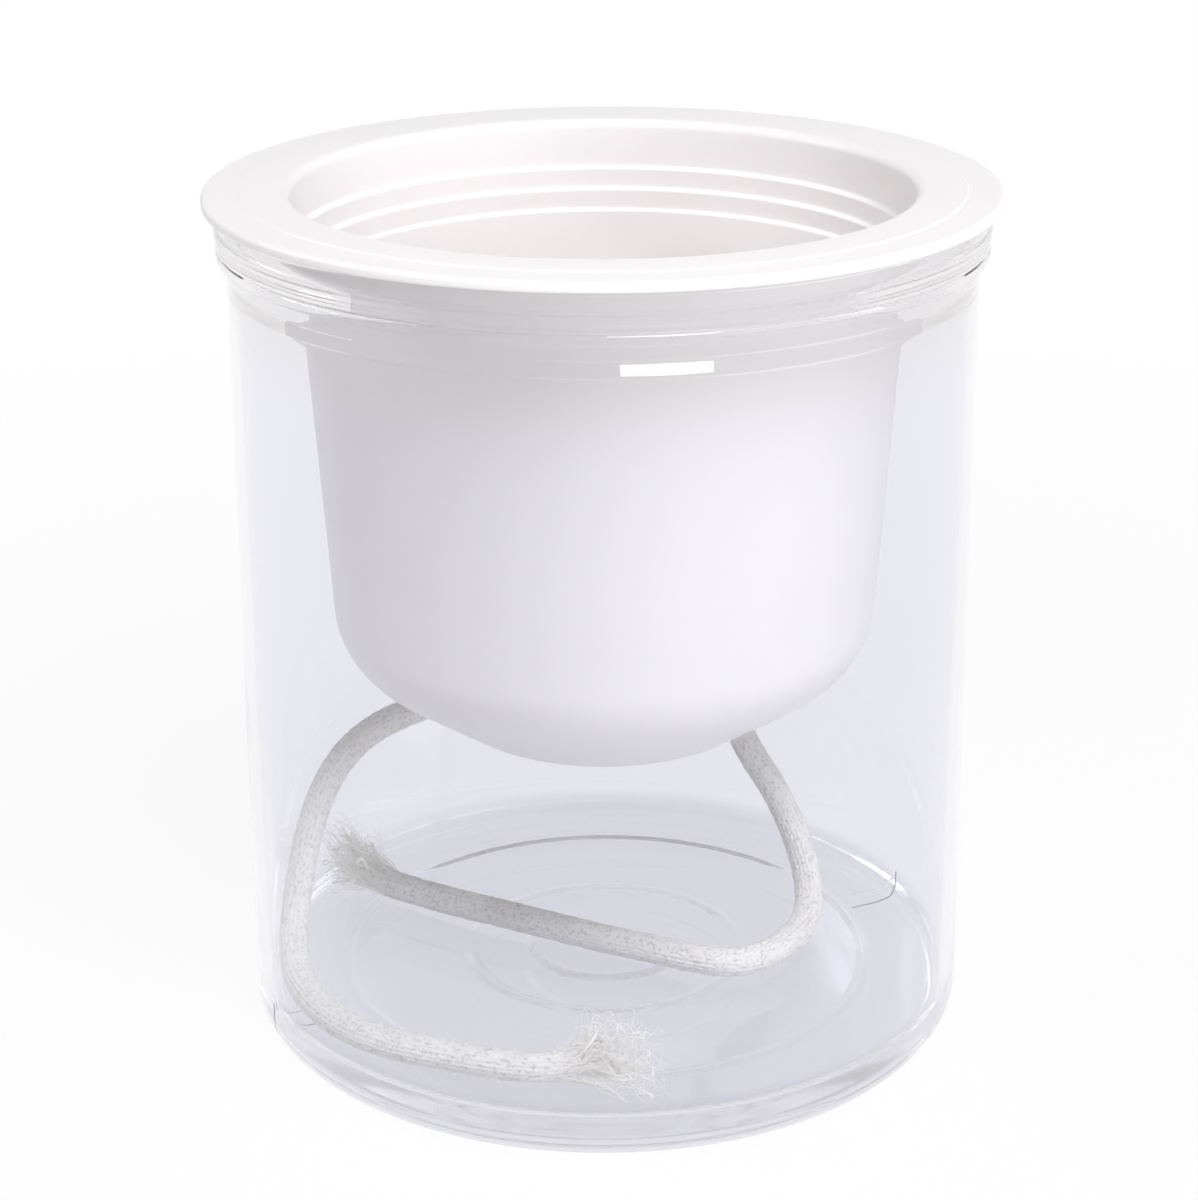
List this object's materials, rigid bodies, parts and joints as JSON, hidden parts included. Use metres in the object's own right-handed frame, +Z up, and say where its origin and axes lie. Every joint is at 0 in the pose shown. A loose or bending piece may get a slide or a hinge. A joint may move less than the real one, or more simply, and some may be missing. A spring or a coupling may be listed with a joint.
{
  "type": "self-watering pot",
  "caption": "Round clear glass reservoir with a white plastic insert pot hung in its mouth by a flange, and a cotton wick trailing from the insert into the water.",
  "frame": {"origin": "centre of the vessel's foot, on the surface that it stands on", "axes": "+Z up along the pot's axis, -Y towards the viewer"},
  "size_m": [0.15, 0.15, 0.1692],
  "materials": {
    "clear_glass": "polished pressed glass",
    "white_plastic": "satin moulded plastic",
    "cotton": "braided cotton"
  },
  "bodies": {
    "vessel": {"reservoir_vessel": "clear_glass"},
    "insert": {"insert_flange": "white_plastic", "insert_side": "white_plastic", "insert_bottom": "white_plastic", "wick_run": "cotton", "wick_left_leg": "cotton", "wick_right_leg": "cotton", "frayed_end_front": "cotton", "frayed_end_back": "cotton"}
  },
  "joints": [
    {"name": "insert_lift", "type": "slide", "parent": "vessel", "child": "insert", "axis": [0, 0, 1], "range_m": [0, 0.17]}
  ]
}
